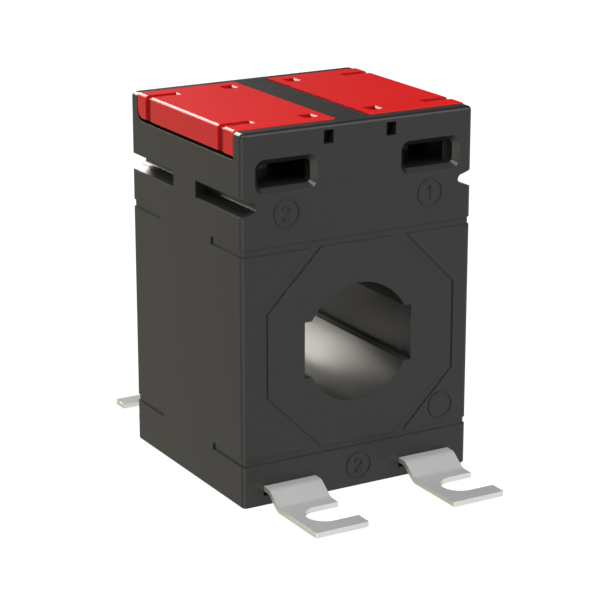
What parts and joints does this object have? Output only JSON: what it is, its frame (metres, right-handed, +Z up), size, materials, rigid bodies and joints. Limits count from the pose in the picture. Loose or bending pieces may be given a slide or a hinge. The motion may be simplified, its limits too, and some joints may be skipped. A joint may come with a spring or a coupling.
{
  "type": "current transformer",
  "caption": "Window-type current transformer in a moulded box with a round and bar-shaped primary window, hinged terminal covers, and slotted sheet-metal feet.",
  "frame": {"origin": "middle of the footprint on the mounting plane", "axes": "+X along the front face to the right, +Y from the front face to the rear face along the primary window, +Z up out of the mounting plane"},
  "size_m": [0.06, 0.101, 0.0867],
  "materials": {
    "housing_plastic": "dark grey moulded polycarbonate, fine matt grain",
    "cover_plastic": "red moulded polycarbonate, satin gloss",
    "pin_steel": "blackened steel wire",
    "foot_steel": "galvanised steel sheet, bare grey",
    "terminal_brass": "nickel-plated brass",
    "clamp_steel": "zinc-plated steel",
    "core_steel": "strip-wound silicon steel, dull edges",
    "case_plastic": "natural polyamide",
    "copper_wire": "enamelled copper wire, wound",
    "yellow_tape": "polyester tape",
    "clear_film": "polyester insulating film",
    "foam": "dark soft foam"
  },
  "bodies": {
    "base": {"housing": "housing_plastic", "rear_plate": "housing_plastic", "core": "core_steel", "core_case_front": "case_plastic", "core_case_rear": "case_plastic", "winding": "copper_wire", "winding_tape": "yellow_tape", "bore_film": "clear_film", "coil_pad_front": "foam", "coil_pad_rear": "foam", "lead_s1": "copper_wire", "lead_s2": "copper_wire", "terminal_bar_s1": "terminal_brass", "terminal_bar_s2": "terminal_brass", "foot_front_left": "foot_steel", "foot_front_right": "foot_steel", "foot_rear_left": "foot_steel", "foot_rear_right": "foot_steel"},
    "cover_s1": {"cover_s1": "cover_plastic", "hinge_pin_s1_front": "pin_steel", "hinge_pin_s1_rear": "pin_steel"},
    "clamp_plate_s1_front": {"clamp_plate_s1_front": "clamp_steel"},
    "clamp_screw_s1_front": {"clamp_screw_s1_front": "clamp_steel"},
    "clamp_plate_s1_rear": {"clamp_plate_s1_rear": "clamp_steel"},
    "clamp_screw_s1_rear": {"clamp_screw_s1_rear": "clamp_steel"},
    "cover_s2": {"cover_s2": "cover_plastic", "hinge_pin_s2_front": "pin_steel", "hinge_pin_s2_rear": "pin_steel"},
    "clamp_plate_s2_front": {"clamp_plate_s2_front": "clamp_steel"},
    "clamp_screw_s2_front": {"clamp_screw_s2_front": "clamp_steel"},
    "clamp_plate_s2_rear": {"clamp_plate_s2_rear": "clamp_steel"},
    "clamp_screw_s2_rear": {"clamp_screw_s2_rear": "clamp_steel"}
  },
  "joints": [
    {"name": "cover_s1_hinge", "type": "hinge", "parent": "base", "child": "cover_s1", "pos_m": [0.0081, 0, 0.08365], "axis": [0, -1, 0], "range_deg": [0, 100]},
    {"name": "clamp_plate_s1_front_lift", "type": "slide", "parent": "base", "child": "clamp_plate_s1_front", "axis": [0, 0, 1], "range_m": [0, 0.003]},
    {"name": "clamp_screw_s1_front_turn", "type": "hinge", "parent": "clamp_plate_s1_front", "child": "clamp_screw_s1_front", "pos_m": [0.0187, -0.007, 0.07645], "axis": [0, 0, 1], "range_deg": [0, 1542]},
    {"name": "clamp_plate_s1_rear_lift", "type": "slide", "parent": "base", "child": "clamp_plate_s1_rear", "axis": [0, 0, 1], "range_m": [0, 0.003]},
    {"name": "clamp_screw_s1_rear_turn", "type": "hinge", "parent": "clamp_plate_s1_rear", "child": "clamp_screw_s1_rear", "pos_m": [0.0187, 0.007, 0.07645], "axis": [0, 0, 1], "range_deg": [0, 1542]},
    {"name": "cover_s2_hinge", "type": "hinge", "parent": "base", "child": "cover_s2", "pos_m": [-0.0081, 0, 0.08365], "axis": [0, 1, 0], "range_deg": [0, 100]},
    {"name": "clamp_plate_s2_front_lift", "type": "slide", "parent": "base", "child": "clamp_plate_s2_front", "axis": [0, 0, 1], "range_m": [0, 0.003]},
    {"name": "clamp_screw_s2_front_turn", "type": "hinge", "parent": "clamp_plate_s2_front", "child": "clamp_screw_s2_front", "pos_m": [-0.0187, -0.007, 0.07645], "axis": [0, 0, 1], "range_deg": [0, 1542]},
    {"name": "clamp_plate_s2_rear_lift", "type": "slide", "parent": "base", "child": "clamp_plate_s2_rear", "axis": [0, 0, 1], "range_m": [0, 0.003]},
    {"name": "clamp_screw_s2_rear_turn", "type": "hinge", "parent": "clamp_plate_s2_rear", "child": "clamp_screw_s2_rear", "pos_m": [-0.0187, 0.007, 0.07645], "axis": [0, 0, 1], "range_deg": [0, 1542]}
  ]
}
